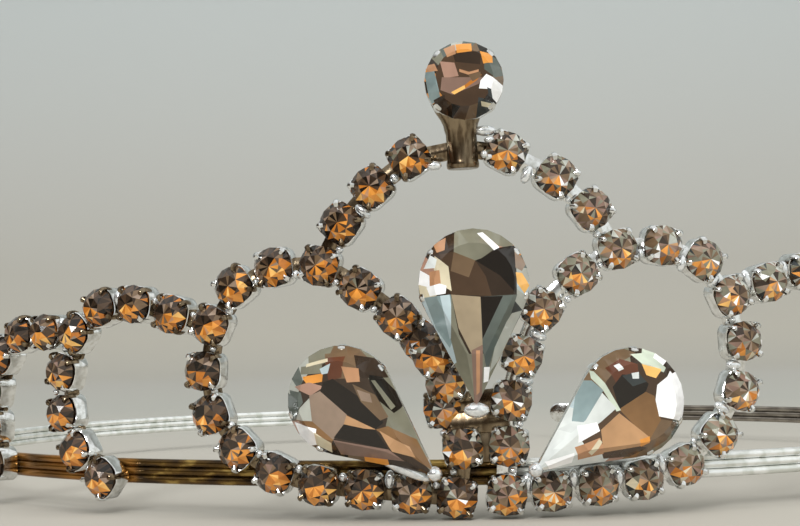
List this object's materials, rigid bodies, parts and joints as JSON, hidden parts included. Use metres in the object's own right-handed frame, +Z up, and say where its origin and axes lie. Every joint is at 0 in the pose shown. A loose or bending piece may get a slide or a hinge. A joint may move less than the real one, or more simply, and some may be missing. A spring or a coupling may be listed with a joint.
{
  "type": "tiara",
  "caption": "Bridal tiara: an open oval wire band with crystal cup-chain petals, scallops and arch soldered to its front, teardrop crystals in them and one round crystal on top.",
  "frame": {"origin": "under the middle of the tiara's overall box, level with the bottom of its lowest crystal cups", "axes": "+Z up, away from the head; the ornament is at the front, -Y; +X is the wearer's left; the band lies level, parallel to the XY plane"},
  "size_m": [0.1128, 0.1072, 0.0388],
  "materials": {
    "silver": "bright rhodium or silver plate on brass, polished and slightly uneven",
    "crystal": "clear faceted glass with a mirror foil back, reads dark brown, grey, amber and white by turns"
  },
  "bodies": {
    "root": {"petal_chain_left": "silver", "petal_stone_left_01": "crystal", "petal_stone_left_02": "crystal", "petal_stone_left_03": "crystal", "petal_stone_left_04": "crystal", "petal_stone_left_05": "crystal", "petal_stone_left_06": "crystal", "petal_stone_left_07": "crystal", "petal_stone_left_08": "crystal", "petal_stone_left_09": "crystal", "petal_stone_left_10": "crystal", "petal_stone_left_11": "crystal", "petal_stone_left_12": "crystal", "petal_stone_left_13": "crystal", "petal_stone_left_14": "crystal", "petal_stone_left_15": "crystal", "petal_stone_left_16": "crystal", "petal_stone_left_17": "crystal", "arch_chain_left": "silver", "second_scallop_left": "silver", "third_scallop_left": "silver", "petal_chain_right": "silver", "petal_stone_right_01": "crystal", "petal_stone_right_02": "crystal", "petal_stone_right_03": "crystal", "petal_stone_right_04": "crystal", "petal_stone_right_05": "crystal", "petal_stone_right_06": "crystal", "petal_stone_right_07": "crystal", "petal_stone_right_08": "crystal", "petal_stone_right_09": "crystal", "petal_stone_right_10": "crystal", "petal_stone_right_11": "crystal", "petal_stone_right_12": "crystal", "petal_stone_right_13": "crystal", "petal_stone_right_14": "crystal", "petal_stone_right_15": "crystal", "petal_stone_right_16": "crystal", "arch_chain_right": "silver", "second_scallop_right": "silver", "third_scallop_right": "silver", "band_wire_top": "silver", "band_wire_middle": "silver", "band_wire_bottom": "silver", "band_tip_left": "silver", "band_tip_right": "silver", "centre_teardrop_setting": "silver", "centre_teardrop_crystal": "crystal", "left_teardrop_setting": "silver", "left_teardrop_crystal": "crystal", "right_teardrop_setting": "silver", "right_teardrop_crystal": "crystal", "finial_cup": "silver", "finial_crystal": "crystal", "finial_stem": "silver"}
  },
  "joints": []
}
